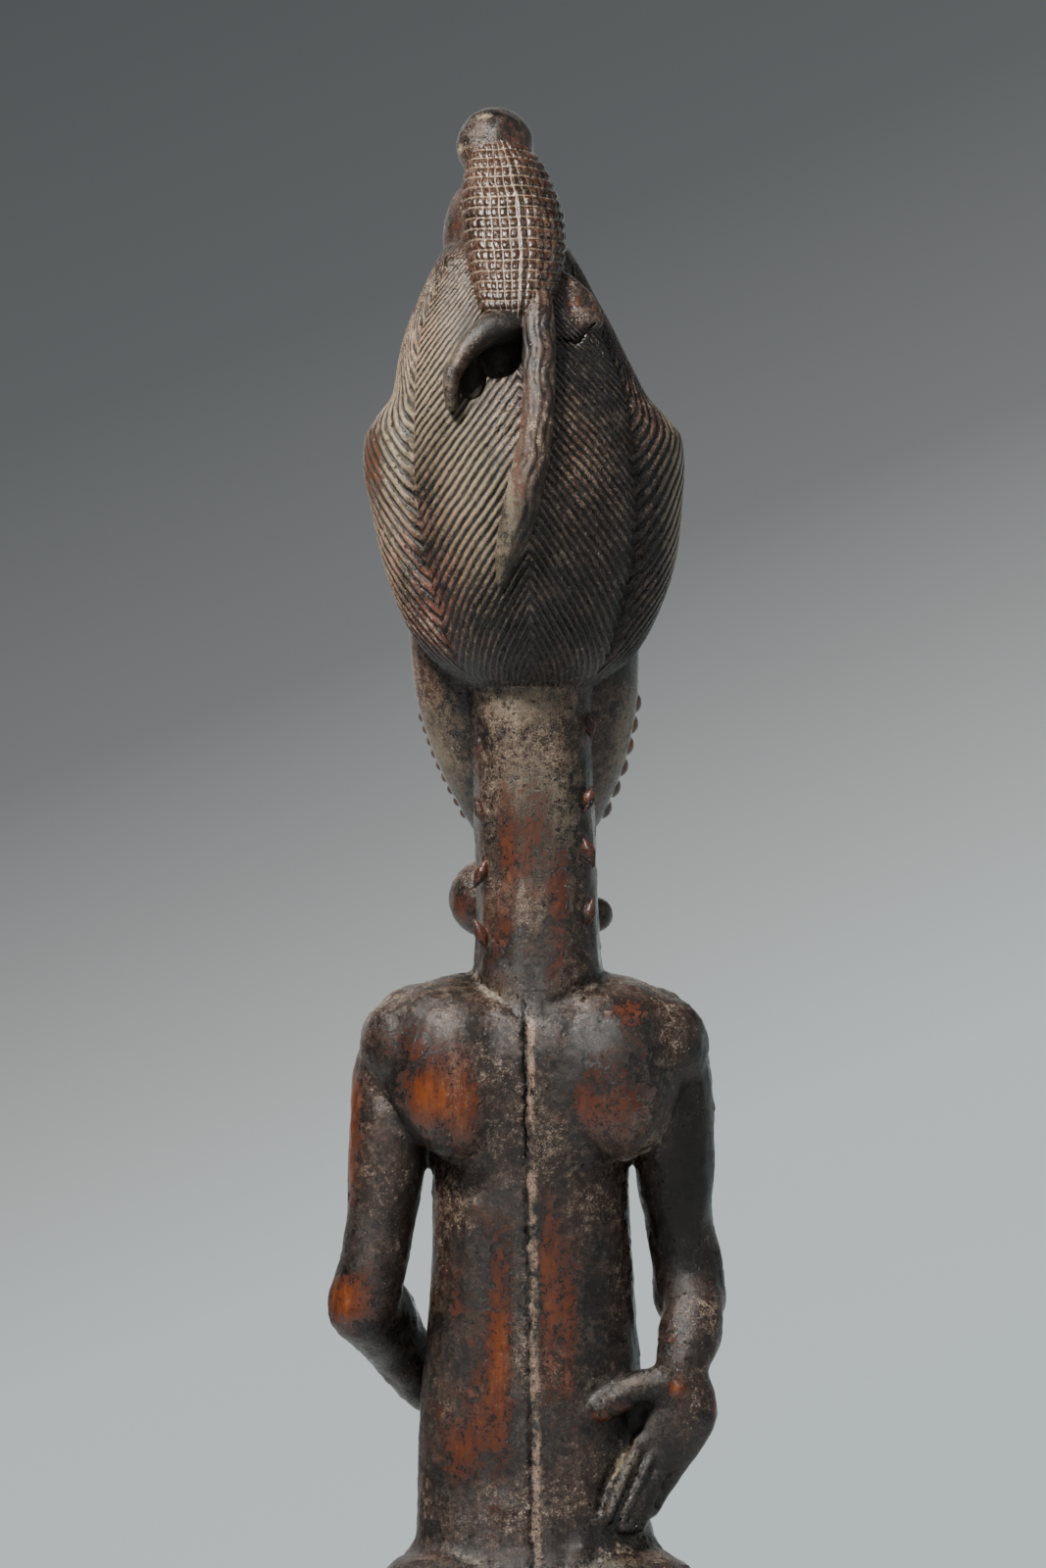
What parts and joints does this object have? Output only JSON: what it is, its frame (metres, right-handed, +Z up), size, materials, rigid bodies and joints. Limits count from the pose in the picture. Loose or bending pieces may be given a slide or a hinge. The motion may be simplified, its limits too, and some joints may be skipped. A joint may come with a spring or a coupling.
{
  "type": "male statue",
  "caption": "Standing male figure carved from one block of wood in the West African manner, with combed and plaited hair, a beard, bent arms, flexed legs and a low round plinth.",
  "frame": {"origin": "centre of the round underside of the plinth, on which the statue rests", "axes": "+Z up through the coiffure; the face looks towards -Y and the back towards +Y; the figure's own left arm is on +X and the hand laid on the hip on -X"},
  "size_m": [0.104, 0.104, 0.5498],
  "materials": {
    "patinated_wood": "very dark, crusty, part-polished patina, worn to orange-brown wood on the high places, with pale dust in the carving"
  },
  "bodies": {
    "root": {"statue": "patinated_wood"}
  },
  "joints": []
}
